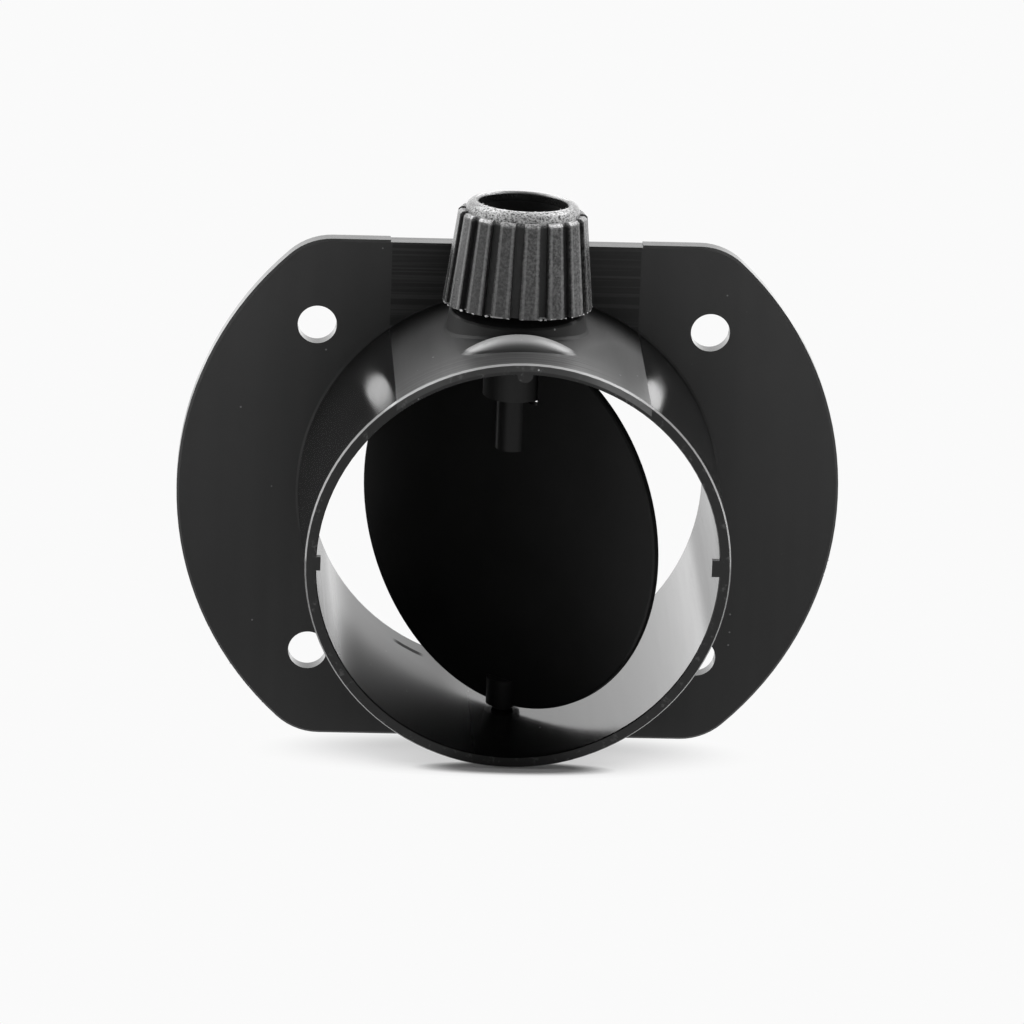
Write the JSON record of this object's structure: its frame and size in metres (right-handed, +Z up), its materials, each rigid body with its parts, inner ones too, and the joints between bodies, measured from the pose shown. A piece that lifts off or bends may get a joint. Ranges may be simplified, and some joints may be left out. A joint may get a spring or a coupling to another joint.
{
  "type": "duct connector with valve",
  "caption": "Flanged hose spigot in black plastic, with a round flap inside that a fluted knob on top turns to throttle the air.",
  "frame": {"origin": "on the duct axis, at the flange's back face, in the middle of the four screw holes", "axes": "+Y out of the flange's back into the duct or wall, the spigot points along -Y, +Z up along the valve axis to the knob"},
  "size_m": [0.0952, 0.0408, 0.0849],
  "materials": {
    "body_plastic": "satin",
    "flap_plastic": "satin",
    "spindle_plastic": "satin",
    "knob_plastic": "fine texture"
  },
  "bodies": {
    "housing": {"body": "body_plastic"},
    "valve": {"flap": "flap_plastic", "spindle": "spindle_plastic", "knob": "knob_plastic"}
  },
  "joints": [
    {"name": "valve_turn", "type": "hinge", "parent": "housing", "child": "valve", "pos_m": [-0.00035, -0.0145, 0], "axis": [0, 0, 1], "continuous": true}
  ]
}
